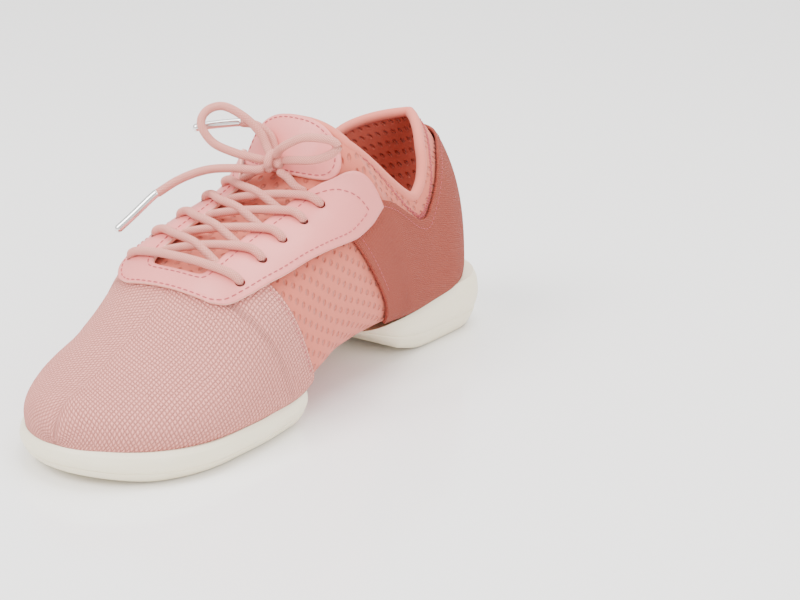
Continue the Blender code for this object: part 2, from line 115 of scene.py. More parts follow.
# Bootie: a stretch upper of perforated foam-backed jersey, sewn as one sock with its front, floor
# and collar, and cemented to both sole pads. Its sides show between vamp and heel, with a staggered
# pattern of soft dimples. All the shells follow this one last.
LENGTH, SIDE_SHIFT = 262.0, 0.9
HEEL_START, TOE_END, TONGUE_TOP = 8.0, 258.0, 72.0
HEEL_ROUND, TOE_ROUND, TOE_DROP = 34.0, 52.0, 12.0
WALL, CANVAS, LEATHER, CANVAS_LIFT = 2.4, 1.4, 1.6, 1.0
FACING_LIFT = CANVAS_LIFT + CANVAS + 0.5
LAST_COLUMNS = ("base", "crest_u", "medial", "lateral", "widest", "crest", "bottom", "round", "under", "lean")
LAST = np.array([
    (8, 26, 30.0, 30.0, 34.0, 97.0, 17.5, 2.7, 3.5, 3.0),
    (20, 41, 30.0, 30.0, 34.0, 100.0, 17.5, 2.7, 3.5, 2.8),
    (40, 65, 31.0, 31.0, 35.0, 105.0, 17.0, 2.7, 3.5, 2.4),
    (60, 90, 33.0, 33.0, 37.0, 109.0, 16.5, 2.7, 3.5, 1.7),
    (72, 105, 34.5, 34.8, 39.0, 110.0, 16.0, 2.7, 3.3, 1.4),
    (80, 117, 35.5, 36.0, 41.0, 91.0, 15.5, 2.8, 3.0, 1.2),
    (88, 127, 36.5, 37.2, 43.0, 80.5, 15.0, 3.0, 2.8, 1.2),
    (104, 139, 38.0, 39.3, 43.0, 76.5, 14.0, 3.0, 2.6, 1.2),
    (120, 150, 39.0, 41.0, 40.0, 73.5, 13.0, 3.0, 2.6, 1.1),
    (136, 162, 40.0, 42.5, 32.0, 70.5, 11.5, 3.0, 2.8, 1.1),
    (150, 172, 41.0, 43.5, 26.0, 67.5, 10.0, 3.0, 3.2, 1.0),
    (160, 182, 42.0, 44.0, 22.0, 63.5, 9.2, 2.9, 3.5, 1.0),
    (170, 190, 42.5, 44.2, 20.0, 57.0, 9.0, 2.6, 3.5, 1.0),
    (185, 201, 42.5, 44.0, 18.5, 49.5, 9.0, 2.3, 3.5, 1.0),
    (200, 212, 42.0, 43.2, 17.5, 43.5, 9.0, 2.1, 3.5, 1.0),
    (216, 225, 41.0, 41.8, 17.0, 38.0, 9.2, 2.1, 3.5, 1.0),
    (232, 237, 40.5, 40.5, 17.0, 33.0, 9.8, 2.1, 3.5, 1.0),
    (246, 248, 40.0, 40.0, 17.0, 29.5, 10.8, 2.1, 3.3, 1.0),
    (258, 258, 39.0, 39.0, 17.0, 28.0, 11.5, 2.1, 3.3, 1.0),
])
TOPLINE_COLUMNS = ("base", "collar", "quarter")
TOPLINE = np.array([
    (8, 97.0, 88.0),
    (17, 95.5, 87.0),
    (27, 92.5, 84.0),
    (34, 89.0, 79.5),
    (41, 82.0, 73.0),
    (48, 75.0, 66.0),
    (55, 71.3, 61.0),
    (60, 75.5, 63.0),
    (66, 86.0, 69.0),
    (72, 100.5, 75.5),
    (78, 100.0, 79.0),
    (88, 80.0, 75.0),
])


def column(table, names, name, at):
    """One column of a table, read at the places given by monotone cubic interpolation."""
    x, y = table[:, 0], table[:, names.index(name)]
    at = np.clip(np.asarray(at, float), x[0], x[-1])
    step = np.diff(x)
    slope = np.diff(y) / step
    tangent = np.zeros_like(y)
    same = slope[:-1] * slope[1:] > 0
    mean = 2 * slope[:-1] * slope[1:] / np.where(same, slope[:-1] + slope[1:], 1)
    tangent[1:-1] = np.where(same, mean, 0)
    tangent[0], tangent[-1] = slope[0], slope[-1]
    i = np.clip(np.searchsorted(x, at, side="right") - 1, 0, len(x) - 2)
    s = (at - x[i]) / step[i]
    return (y[i] * (1 + 2 * s) * (1 - s) ** 2 + tangent[i] * step[i] * s * (1 - s) ** 2
            + y[i + 1] * s ** 2 * (3 - 2 * s) + tangent[i + 1] * step[i] * s ** 2 * (s - 1))


def last(base, share, side):
    """Points (u, v, w) of the last. Each section is a superellipse: v is the half-width times the cosine
    of an angle to a power, w the widest line's height plus or minus the reach times its sine to the same
    power. The angle falls with the share, from 0 at the crest over 1 at the widest line to 2 at the
    bottom's middle. Sections lean forward by rise to a power, and round off by a circle at both ends."""
    base, share = np.broadcast_arrays(np.asarray(base, float), np.asarray(share, float))
    read = {name: column(LAST, LAST_COLUMNS, name, base) for name in LAST_COLUMNS[1:]}
    heel = np.clip((base - HEEL_START) / HEEL_ROUND, 0, 1)
    toe = np.clip((TOE_END - base) / TOE_ROUND, 0, 1)
    drop = np.clip((TOE_END - base) / TOE_DROP, 0, 1)
    cap = np.sqrt(1 - (1 - heel) ** 2) * np.sqrt(1 - (1 - toe) ** 2)
    drop = np.sqrt(1 - (1 - drop) ** 2)
    angle = np.radians(90) * (1 - share)
    power = 2 / np.where(share <= 1, read["round"], read["under"])
    reach = np.where(share <= 1, read["crest"] - read["widest"], read["widest"] - read["bottom"]) * drop
    half = np.where(side > 0, read["medial"], read["lateral"]) * cap
    v = side * half * np.clip(np.cos(angle), 0, 1) ** power
    w = read["widest"] + np.sign(np.sin(angle)) * reach * np.abs(np.sin(angle)) ** power
    rise = np.clip((w - read["bottom"]) / (read["crest"] - read["bottom"]), 0, 1)
    u = base + (read["crest_u"] - base) * rise ** read["lean"]
    return np.stack([u, v, w], axis=-1)


def edge_share(base, edge):
    """Share at which a section of the last reaches the height of the named topline edge."""
    crest, widest = (column(LAST, LAST_COLUMNS, name, base) for name in ("crest", "widest"))
    power = column(LAST, LAST_COLUMNS, "round", base) / 2
    height = column(TOPLINE, TOPLINE_COLUMNS, edge, base)
    ratio = np.clip((height - widest) / (crest - widest), 0, 1)
    return 1 - np.degrees(np.arcsin(ratio ** power)) / 90


def to_world(points):
    """(u, v, w) in millimetres as world metres."""
    points = np.asarray(points, float)
    u, v, w = points[..., 0], points[..., 1], points[..., 2]
    return np.stack([v + SIDE_SHIFT, LENGTH / 2 - u, w], axis=-1) * 0.001


def lifted(base, share, side, lift):
    """Points of the last plus lift times its outward normal, and that normal. The normal is the cross
    product of two small central steps, along the sections and down the share, and turns straight
    ahead at the tip, where the sections shrink to nothing."""
    base, share = np.broadcast_arrays(np.asarray(base, float), np.asarray(share, float))
    near = np.clip(base, HEEL_START + 0.6, TOE_END - 0.6)
    place = np.clip(share, 0.012, 1.985)
    along = last(near + 0.3, place, side) - last(near - 0.3, place, side)
    across = last(near, place + 0.006, side) - last(near, place - 0.006, side)
    normal = np.cross(along, across) * np.broadcast_to(side, base.shape)[..., None]
    normal /= np.maximum(np.linalg.norm(normal, axis=-1, keepdims=True), 1e-9)
    middle = (share <= 0.0) | (share >= 2.0) | (base <= HEEL_START) | (base >= TOE_END)
    near_tip = np.clip(np.minimum(base - HEEL_START, TOE_END - base) / 0.6, 0, 1)
    normal[..., 1] = np.where(middle, 0, normal[..., 1] * np.sqrt(near_tip))
    normal[..., 2] *= np.sqrt(np.clip((TOE_END - base) / 0.6, 0, 1))
    normal /= np.maximum(np.linalg.norm(normal, axis=-1, keepdims=True), 1e-9)
    return last(base, share, side) + normal * np.asarray(lift)[..., None], normal


def grid_faces(rows, columns, start=0, flip=False):
    """Quads of a grid of rows by columns, numbered from start."""
    index = np.arange(rows * columns).reshape(rows, columns) + start
    quads = [index[:-1, :-1], index[:-1, 1:], index[1:, 1:], index[1:, :-1]]
    return np.stack(quads[::-1] if flip else quads, axis=-1).reshape(-1, 4)


def cloth_uv(points):
    """Cloth coordinates in millimetres: path length down each row and along each column."""
    across = np.cumsum(np.linalg.norm(np.diff(points, axis=1, prepend=points[:, :1]), axis=-1), axis=1)
    along = np.cumsum(np.linalg.norm(np.diff(points, axis=0, prepend=points[:1]), axis=-1), axis=0)
    middle = along[:, along.shape[1] // 2][:, None] * np.ones_like(along)
    return np.stack([across, 0.5 * (along + middle)], axis=-1)


def weld(piece, distance=0.00004):
    """Merge the seam between the two halves and drop faces that have no area."""
    mesh = bmesh.new()
    mesh.from_mesh(piece.data)
    bmesh.ops.remove_doubles(mesh, verts=mesh.verts, dist=distance)
    bmesh.ops.dissolve_degenerate(mesh, dist=0.000005, edges=mesh.edges)
    mesh.to_mesh(piece.data)
    mesh.free()
    piece.data.shade_smooth()


def wall(piece, thickness, direction, rim_material=0):
    """Give a surface its thickness: direction 1 grows out of it, -1 into it."""
    solid = piece.modifiers.new("wall", "SOLIDIFY")
    solid.thickness = thickness * 0.001
    solid.offset = direction
    solid.material_offset_rim = rim_material


def shell(name, base, shares, lift, thickness, direction, materials):
    """A shell of both sides of the last, lifted, from a column of sections and a grid of shares."""
    points, faces, uv = [], [], []
    for side in (1, -1):
        place, _ = lifted(base[:, None], shares, side, lift)
        faces.append(grid_faces(*shares.shape, start=sum(len(p) for p in points), flip=side > 0))
        points.append(place.reshape(-1, 3))
        above, _ = lifted(base[:, None], shares[:, :1] * np.linspace(0, 1, 30)[None, :], side, lift)
        cloth = cloth_uv(place)
        cloth[..., 0] += np.linalg.norm(np.diff(above, axis=1), axis=-1).sum(axis=1)[:, None]
        uv.append((cloth * (side, 1)).reshape(-1, 2))
    piece = add_mesh(name, to_world(np.vstack(points)), np.vstack(faces), np.vstack(uv))
    weld(piece)
    for made in materials:
        piece.data.materials.append(made)
    wall(piece, thickness, direction, 1 if len(materials) > 1 else 0)
    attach(piece, "root")
    return piece


def group(name, inputs, outputs):
    """An empty shader node group with float, vector or colour sockets."""
    made = bpy.data.node_groups.new(name, "ShaderNodeTree")
    for socket, kind, value in inputs:
        item = made.interface.new_socket(socket, in_out="INPUT", socket_type=kind)
        if value is not None:
            item.default_value = value
    for socket, kind in outputs:
        made.interface.new_socket(socket, in_out="OUTPUT", socket_type=kind)
    start, end = made.nodes.new("NodeGroupInput"), made.nodes.new("NodeGroupOutput")
    return made, start, end


def math_node(tree, operation, *values):
    """A Math node fed by numbers or sockets."""
    made = tree.nodes.new("ShaderNodeMath")
    made.operation = operation
    for socket, value in zip(made.inputs, values):
        if isinstance(value, (int, float)):
            socket.default_value = value
        else:
            tree.links.new(value, socket)
    return made.outputs[0]


def make_dimples():
    """Group: a staggered field of round soft dimples; out comes 1 in a dimple's middle, 0 between."""
    sockets = [("Vector", "NodeSocketVector", None), ("Pitch", "NodeSocketFloat", 5.0),
               ("Radius", "NodeSocketFloat", 0.2)]
    made, start, end = group("dimples", sockets, [("Mask", "NodeSocketFloat")])
    split = made.nodes.new("ShaderNodeSeparateXYZ")
    made.links.new(start.outputs["Vector"], split.inputs[0])
    x = math_node(made, "DIVIDE", split.outputs[0], start.outputs["Pitch"])
    y = math_node(made, "DIVIDE", split.outputs[1], start.outputs["Pitch"])
    row = math_node(made, "FLOOR", math_node(made, "MULTIPLY", y, 1.6))
    shift = math_node(made, "MULTIPLY", row, 0.5)
    fx = math_node(made, "SUBTRACT", math_node(made, "FRACT", math_node(made, "ADD", x, shift)), 0.5)
    fy = math_node(made, "SUBTRACT", math_node(made, "FRACT", math_node(made, "MULTIPLY", y, 1.6)), 0.5)
    fy = math_node(made, "DIVIDE", fy, 1.6)
    radius = math_node(made, "SQRT", math_node(made, "ADD", math_node(made, "MULTIPLY", fx, fx),
                                               math_node(made, "MULTIPLY", fy, fy)))
    edge = math_node(made, "DIVIDE", radius, start.outputs["Radius"])
    mask = math_node(made, "MAXIMUM", math_node(made, "SUBTRACT", 1.0, edge), 0.0)
    steep = math_node(made, "MULTIPLY", mask, 1.6)
    made.links.new(math_node(made, "SMOOTH_MIN", steep, 1.0, 0.2), end.inputs[0])
    return made


def make_weave():
    """Group: plain weave from two sine ridges that swap places; out come height and a tone that mixes painted
    shade, darker in the hollows between threads, with a random fleck.
    """
    sockets = [("Vector", "NodeSocketVector", None), ("Pitch", "NodeSocketFloat", 1.0)]
    made, start, end = group("weave", sockets, [("Height", "NodeSocketFloat"), ("Fleck_and_shade", "NodeSocketFloat")])
    split = made.nodes.new("ShaderNodeSeparateXYZ")
    made.links.new(start.outputs["Vector"], split.inputs[0])
    wobble = made.nodes.new("ShaderNodeTexNoise")
    wobble.inputs["Scale"].default_value = 0.35
    made.links.new(start.outputs["Vector"], wobble.inputs["Vector"])
    drift = math_node(made, "MULTIPLY", wobble.outputs[0], 0.5)
    x = math_node(made, "ADD", math_node(made, "DIVIDE", split.outputs[0], start.outputs["Pitch"]), drift)
    y = math_node(made, "ADD", math_node(made, "DIVIDE", split.outputs[1], start.outputs["Pitch"]), drift)
    sx = math_node(made, "SINE", math_node(made, "MULTIPLY", x, math.pi))
    sy = math_node(made, "SINE", math_node(made, "MULTIPLY", y, math.pi))
    bump = math_node(made, "POWER", math_node(made, "ABSOLUTE", math_node(made, "MULTIPLY", sx, sy)), 0.55)
    made.links.new(bump, end.inputs["Height"])
    fleck = made.nodes.new("ShaderNodeTexNoise")
    fleck.inputs["Scale"].default_value = 1.3
    fleck.inputs["Detail"].default_value = 3
    made.links.new(start.outputs["Vector"], fleck.inputs["Vector"])
    # Tone: 0.6 of the weave's height, painted shade in the hollows between threads, plus 0.4 of a random
    # fleck.
    made.links.new(math_node(made, "ADD", math_node(made, "MULTIPLY", bump, 0.6),
                             math_node(made, "MULTIPLY", fleck.outputs[0], 0.4)), end.inputs["Fleck_and_shade"])
    return made


def use_group(made, which, **values):
    """Place a group in a material, fed with the piece's cloth coordinates."""
    tree = made.node_tree
    node = tree.nodes.new("ShaderNodeGroup")
    node.node_tree = which
    uv = tree.nodes.new("ShaderNodeUVMap")
    uv.uv_map = "cloth"
    tree.links.new(uv.outputs[0], node.inputs["Vector"])
    for socket, value in values.items():
        node.inputs[socket].default_value = value
    return node


def two_tone(made, shader, mask, low, high):
    """Mix two colours by a mask into the base colour."""
    mix = made.node_tree.nodes.new("ShaderNodeMix")
    mix.data_type = "RGBA"
    mix.inputs[6].default_value = (*low, 1)
    mix.inputs[7].default_value = (*high, 1)
    made.node_tree.links.new(mask, mix.inputs[0])
    made.node_tree.links.new(mix.outputs[2], shader.inputs["Base Color"])


def relief(made, shader, height, distance, strength=1.0):
    """Feed a height into the shader's normal through a Bump node."""
    bump = made.node_tree.nodes.new("ShaderNodeBump")
    bump.inputs["Distance"].default_value = distance
    bump.inputs["Strength"].default_value = strength
    made.node_tree.links.new(height, bump.inputs["Height"])
    made.node_tree.links.new(bump.outputs[0], shader.inputs["Normal"])


dimples, weave = make_dimples(), make_weave()
jersey, jersey_shader, _ = new_material("perforated_jersey", (0.72, 0.21, 0.14), 0.72, sheen_weight=0.1)
spots = use_group(jersey, dimples, Pitch=6.2, Radius=0.22)
# The dimples' middles are painted darker than the jersey between them: painted shade in the hollows, on top
# of their relief.
two_tone(jersey, jersey_shader, spots.outputs["Mask"], (0.60, 0.14, 0.09), (0.53, 0.113, 0.071))
relief(jersey, jersey_shader, math_node(jersey.node_tree, "MULTIPLY", spots.outputs["Mask"], -1.0), 0.0009)


def lines(top, bottom, count_up, count_down):
    """Shares from a top edge to the widest line and on to a lower edge."""
    up = np.linspace(0, 1, count_up)[None, :]
    down = np.linspace(0, 1, count_down + 1)[None, 1:]
    top, bottom = np.asarray(top, float)[:, None], np.asarray(bottom, float)[:, None]
    return np.hstack([top + (1 - top) * up, 1 + (bottom - 1) * down])


def tight(start, end, count, at_start=1.0, at_end=1.0):
    """Places from start to end that crowd towards either end by the powers given."""
    s = np.linspace(0, 1, count) ** at_start
    s = 1 - (1 - s) ** at_end
    return start + (end - start) * s


rear = tight(HEEL_START, TONGUE_TOP, 60, at_start=1.8)
front = np.concatenate([tight(TONGUE_TOP + 0.01, 100, 36), tight(101, TOE_END, 100, at_end=1.7)])
sections = np.concatenate([rear, front])
collar = np.where(sections <= TONGUE_TOP, edge_share(np.minimum(sections, TONGUE_TOP), "collar"), 0)
bootie = shell("bootie", sections, lines(collar, np.full(len(sections), 2.0), 46, 24), 0, WALL, -1, [jersey])
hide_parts("upper")


# Collar binding: the jersey's edge is folded over foam into a soft rolled rim and held with a
# zigzag seam about 6 mm below it. The rim runs round the whole collar, from the front peak to the heel.
RIM_RADIUS = 2.3


def sweep(path, radius, sides=12):
    """Tube round a path: each point is the path plus radius times the cosine of the turn sideways and
    its sine upwards, both square to the path. Cloth coordinates run round and along, in millimetres."""
    path = np.asarray(path, float)
    radius = np.broadcast_to(np.asarray(radius, float), len(path))
    ahead = np.gradient(path, axis=0)
    ahead /= np.linalg.norm(ahead, axis=1, keepdims=True)
    up = np.array((0.23, 0.11, 0.97))
    side = np.cross(ahead, up)
    side /= np.linalg.norm(side, axis=1, keepdims=True)
    top = np.cross(side, ahead)
    turn = np.linspace(0, 2 * math.pi, sides + 1)
    ring = np.cos(turn)[None, :, None] * side[:, None] + np.sin(turn)[None, :, None] * top[:, None]
    points = path[:, None] + ring * radius[:, None, None]
    length = np.cumsum(np.linalg.norm(np.diff(path, axis=0, prepend=path[:1]), axis=1))
    uv = np.stack(np.broadcast_arrays(turn[None, :] * radius.max(), length[:, None]), axis=-1)
    return points, uv


def smooth_route(points, spacing):
    """Even points on a Catmull-Rom curve through the route's own points."""
    points = np.asarray(points, float)
    padded = np.vstack([2 * points[0] - points[1], points, 2 * points[-1] - points[-2]])
    s = np.linspace(0, 1, 12, endpoint=False)[:, None]
    runs = []
    for a, b, c, d in zip(padded, padded[1:], padded[2:], padded[3:]):
        runs.append(0.5 * (2 * b + (c - a) * s + (2 * a - 5 * b + 4 * c - d) * s ** 2
                           + (3 * b - a - 3 * c + d) * s ** 3))
    fine = np.vstack(runs + [points[-1:]])
    length = np.concatenate([[0], np.cumsum(np.linalg.norm(np.diff(fine, axis=0), axis=1))])
    even = np.linspace(0, length[-1], max(4, int(round(length[-1] / spacing)) + 1))
    return np.column_stack([np.interp(even, length, fine[:, k]) for k in range(3)])


def tube(name, route, radius, finish, spacing=0.8, sides=14):
    """A cord stretch with rounded ends along a route in (u, v, w); returns the piece and its path."""
    path = smooth_route(route, spacing)
    reach = np.minimum(np.arange(len(path)), np.arange(len(path))[::-1]) * spacing / radius
    taper = np.sqrt(np.clip(1 - (1 - np.clip(reach, 0, 1)) ** 2, 0.02, 1))
    points, uv = sweep(path, radius * taper, sides)
    piece = add_mesh(name, to_world(points), grid_faces(*points.shape[:2], flip=False), uv)
    close_ends(piece)
    piece.data.materials.append(finish)
    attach(piece, "root")
    return piece, to_world(path)


def close_ends(piece):
    """Weld a tube's seam, fill its two end rings and turn every face outwards."""
    mesh = bmesh.new()
    mesh.from_mesh(piece.data)
    bmesh.ops.remove_doubles(mesh, verts=mesh.verts, dist=0.00001)
    bmesh.ops.holes_fill(mesh, edges=[e for e in mesh.edges if e.is_boundary], sides=0)
    bmesh.ops.recalc_face_normals(mesh, faces=mesh.faces)
    mesh.to_mesh(piece.data)
    mesh.free()
    piece.data.shade_smooth()


def collar_path(inset, lift):
    """Points round the collar's edge, set down the wall by inset shares and out by lift."""
    base = tight(HEEL_START, TONGUE_TOP, 90, at_start=1.6)
    share = edge_share(base, "collar") + inset
    front_share = np.linspace(edge_share(np.array([TONGUE_TOP]), "collar")[0], 0, 24)[1:]
    halves = []
    for side in (1, -1):
        rim, normal = lifted(base, share, side, lift)
        peak, peak_normal = lifted(np.full(23, TONGUE_TOP + inset * 40), front_share, side, lift)
        halves.append((np.vstack([rim, peak]), np.vstack([normal, peak_normal])))
    medial, lateral = halves
    path = np.vstack([medial[0], lateral[0][::-1][1:-1]])
    return path, np.vstack([medial[1], lateral[1][::-1][1:-1]])


binding, _, _ = new_material("collar_binding", (0.66, 0.17, 0.12), 0.78, sheen_weight=0.1)
rim_path, _ = collar_path(0.0, -WALL / 2)
kernel = np.ones(5) / 5
looped = np.vstack([rim_path[-2:], rim_path, rim_path[:2]])
rim_path = np.column_stack([np.convolve(values, kernel, "valid") for values in looped.T])
rim_points, rim_uv = sweep(np.vstack([rim_path, rim_path[:1]]), RIM_RADIUS, 14)
rim = add_mesh("collar_rim", to_world(rim_points), grid_faces(*rim_points.shape[:2]), rim_uv)
close_ends(rim)
rim.data.materials.append(binding)
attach(rim, "root")


# Vamp: coarse plain-woven cotton canvas, cut in one piece over the toe and lasted under the sole's
# rim. Its rear edges are turned in and run down the sides at the ball of the foot.
VAMP_REAR = 150.0
THROAT_END, THROAT_SLOPE, THROAT_SHARE = 168.6, 3.2, 0.33
THREAD = 1.6


def canvas(name, low, high, pitch, depth):
    """A woven canvas: two tones mixed by the weave's height and a random fleck, so the hollows between
    threads carry painted shade; relief from the weave.
    """
    made, shader, _ = new_material(name, high, 0.9)
    threads = use_group(made, weave, Pitch=pitch)
    two_tone(made, shader, threads.outputs["Fleck_and_shade"], low, high)
    relief(made, shader, threads.outputs["Height"], depth)
    return made


vamp_canvas = canvas("vamp_canvas", (0.52, 0.145, 0.115), (0.92, 0.39, 0.335), THREAD, 0.0009)
vamp_sections = np.concatenate([np.linspace(VAMP_REAR, 166, 22), tight(166.4, TOE_END, 110, at_end=1.9)])
throat = THROAT_SHARE * np.clip((THROAT_END - vamp_sections) / THROAT_SLOPE, 0, 1)
vamp_bottom = np.interp(vamp_sections, (235, 248), (1.45, 2.0))
vamp_shares = lines(throat, vamp_bottom, 60, 12)
vamp = shell("vamp_piece", vamp_sections, vamp_shares, CANVAS_LIFT, CANVAS, 1, [vamp_canvas])
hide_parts("vamp")


# Heel quarter: a finer twill-like canvas round the heel, rising to the facing in a band on each
# side, with a turned edge that makes a V below the collar.
QUARTER_FRONT = 88.0
quarter_canvas = canvas("quarter_canvas", (0.21, 0.030, 0.017), (0.40, 0.076, 0.045), 0.95, 0.0004)
quarter_sections = np.concatenate([tight(HEEL_START, TONGUE_TOP, 60, at_start=1.8),
                                   np.linspace(73, QUARTER_FRONT, 14)])
quarter_shares = lines(edge_share(quarter_sections, "quarter"), np.full(len(quarter_sections), 1.42), 40, 12)
quarter = shell("quarter_piece", quarter_sections, quarter_shares, CANVAS_LIFT, CANVAS, 1, [quarter_canvas])
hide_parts("heel_quarter")


# Facing: one U-shaped piece of smooth leather with a pale cut edge, stitched 3 mm inside its edges
# with dark thread and punched with five pairs of eyelets.
FACING_COLUMNS = ("inner_base", "inner_share", "outer_base", "outer_share")
FACING = np.array([
    (162.0, 0.000, 170.5, 0.000),
    (162.0, 0.060, 170.8, 0.120),
    (161.5, 0.100, 170.8, 0.220),
    (159.0, 0.120, 168.5, 0.320),
    (152.0, 0.122, 161.0, 0.415),
    (140.0, 0.124, 147.0, 0.490),
    (126.0, 0.126, 130.0, 0.550),
    (112.0, 0.132, 113.0, 0.610),
    (100.0, 0.142, 98.0, 0.660),
    (92.0, 0.150, 86.0, 0.695),
    (86.0, 0.160, 75.5, 0.710),
])
FACING_CROWN = 4.5
EYELET_BASES = (158.5, 142.5, 123.0, 102.5, 86.0)
EYELET_SHARE = 0.325
EYELET = 4.2


def facing_place(along, across):
    """Section and share of the facing's surface: inner edge times one minus across, plus outer edge times
    across, less a half sine wave across the leg that grows over its last three rows."""
    index = np.column_stack([np.arange(len(FACING)), FACING])
    names = ("index",) + FACING_COLUMNS
    edge = {name: column(index, names, name, along) for name in FACING_COLUMNS}
    ramp = np.clip(along - len(FACING) + 4, 0, 3) / 3
    crown = FACING_CROWN * np.sin(math.pi * across) * ramp
    base = edge["inner_base"] * (1 - across) + edge["outer_base"] * across - crown
    share = edge["inner_share"] * (1 - across) + edge["outer_share"] * across
    return base, share


def grain_leather(name, colour, edge_colour):
    """Smooth leather with a fine pore grain and a slow drift of tone, and its pale cut edge."""
    made, shader, links = new_material(name, colour, 0.46, coat_weight=0.08)
    tree = made.node_tree
    place = tree.nodes.new("ShaderNodeTexCoord")
    pores = tree.nodes.new("ShaderNodeTexVoronoi")
    pores.inputs["Scale"].default_value = 1900
    links.new(place.outputs["Object"], pores.inputs["Vector"])
    cloud = tree.nodes.new("ShaderNodeTexNoise")
    cloud.inputs["Scale"].default_value = 60
    links.new(place.outputs["Object"], cloud.inputs["Vector"])
    low = tuple(0.93 * c for c in colour)
    two_tone(made, shader, cloud.outputs[0], low, colour)
    relief(made, shader, pores.outputs["Distance"], 0.00008, 0.6)
    edge, _, _ = new_material(name + "_edge", edge_colour, 0.8)
    return made, edge


leather, leather_edge = grain_leather("facing_leather", (0.80, 0.235, 0.215), (0.88, 0.46, 0.38))
along = np.linspace(0, len(FACING) - 1, 160)[:, None]
across = np.linspace(0, 1, 30)[None, :]
facing_points, facing_quads, facing_uv = [], [], []
for side in (1, -1):
    place, _ = lifted(*facing_place(along, across), side, FACING_LIFT)
    facing_quads.append(grid_faces(160, 30, start=sum(len(p) for p in facing_points), flip=side < 0))
    facing_points.append(place.reshape(-1, 3))
    facing_uv.append(cloth_uv(place).reshape(-1, 2))
facing_places = to_world(np.vstack(facing_points))
facing = add_mesh("facing_piece", facing_places, np.vstack(facing_quads), np.vstack(facing_uv))
weld(facing)
facing.data.materials.append(leather)
facing.data.materials.append(leather_edge)
wall(facing, LEATHER, 1, 1)


def punch(piece, base, share, side, radius):
    """Cut one round hole through a piece, square to the last's surface."""
    centre, normal = lifted(base, share, side, FACING_LIFT)
    axis = Vector((normal[1], -normal[0], normal[2]))
    spot = Vector(to_world(centre))
    bpy.ops.mesh.primitive_cylinder_add(vertices=24, radius=radius, depth=0.008, location=spot)
    cutter = bpy.context.object
    cutter.rotation_euler = axis.to_track_quat("Z", "Y").to_euler()
    cut = piece.modifiers.new("eyelet", "BOOLEAN")
    cut.object = cutter
    cut.operation = "DIFFERENCE"
    return cutter


def bake_modifiers(piece, cutters=()):
    """Apply a piece's modifiers and remove the cutters."""
    depsgraph = bpy.context.evaluated_depsgraph_get()
    data = bpy.data.meshes.new_from_object(piece.evaluated_get(depsgraph))
    piece.modifiers.clear()
    piece.data = data
    for cutter in cutters:
        bpy.data.objects.remove(cutter)


holes = [punch(facing, base, EYELET_SHARE, side, EYELET / 2000) for side in (1, -1) for base in EYELET_BASES]
bake_modifiers(facing, holes)
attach(facing, "root")
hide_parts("facing")


# Seams: each stitch is a short thread laid into the surface, one after the other along the edge.
# The facing has a dark rose lockstitch, the patch the same, the canvas edges a finer one.
thread, _, _ = new_material("seam_thread", (0.46, 0.09, 0.10), 0.8)


def stitches(name, path, normal, length=2.0, gap=1.1, radius=0.24, finish=thread):
    """Stitches along a path in millimetres: each point is the path, plus the outward normal times a half
    sine wave that sinks both ends in, plus a six-sided circle across the thread."""
    travel = np.concatenate([[0], np.cumsum(np.linalg.norm(np.diff(path, axis=0), axis=1))])
    starts = np.arange(0, travel[-1] - length, length + gap)
    s = np.linspace(0, 1, 5)
    where = starts[:, None] + s[None, :] * length
    middle = np.stack([np.interp(where, travel, path[:, k]) for k in range(3)], axis=-1)
    out = np.stack([np.interp(where, travel, normal[:, k]) for k in range(3)], axis=-1)
    out /= np.linalg.norm(out, axis=-1, keepdims=True)
    middle = middle + out * (radius * (1.1 * np.sin(math.pi * s) - 0.25))[None, :, None]
    ahead = np.gradient(middle, axis=1)
    ahead /= np.linalg.norm(ahead, axis=-1, keepdims=True)
    side = np.cross(ahead, out)
    side /= np.linalg.norm(side, axis=-1, keepdims=True)
    turn = np.linspace(0, 2 * math.pi, 6, endpoint=False)
    ring = (np.cos(turn)[:, None] * side[:, :, None] + np.sin(turn)[:, None] * out[:, :, None]) * radius
    points = middle[:, :, None] + ring
    count = len(starts)
    index = np.arange(count * 30).reshape(count, 5, 6)
    near, far = index[:, :-1], index[:, 1:]
    quads = np.stack([near, np.roll(near, -1, 2), np.roll(far, -1, 2), far], -1)
    piece = add_mesh(name, to_world(points), quads.reshape(-1, 4))
    close_ends(piece)
    piece.data.materials.append(finish)
    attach(piece, "root")
    return piece


def facing_seam(name, across_at, margin_end):
    """Stitch line along both legs at a set place between the facing's inner and outer edge."""
    run = np.linspace(0, len(FACING) - 1 - margin_end, 200)
    halves = []
    for side in (1, -1):
        halves.append(lifted(*facing_place(run, np.full(200, across_at)), side, FACING_LIFT + LEATHER))
    path = np.vstack([halves[1][0][::-1], halves[0][0][1:]])
    normal = np.vstack([halves[1][1][::-1], halves[0][1][1:]])
    stitches(name, path, normal)


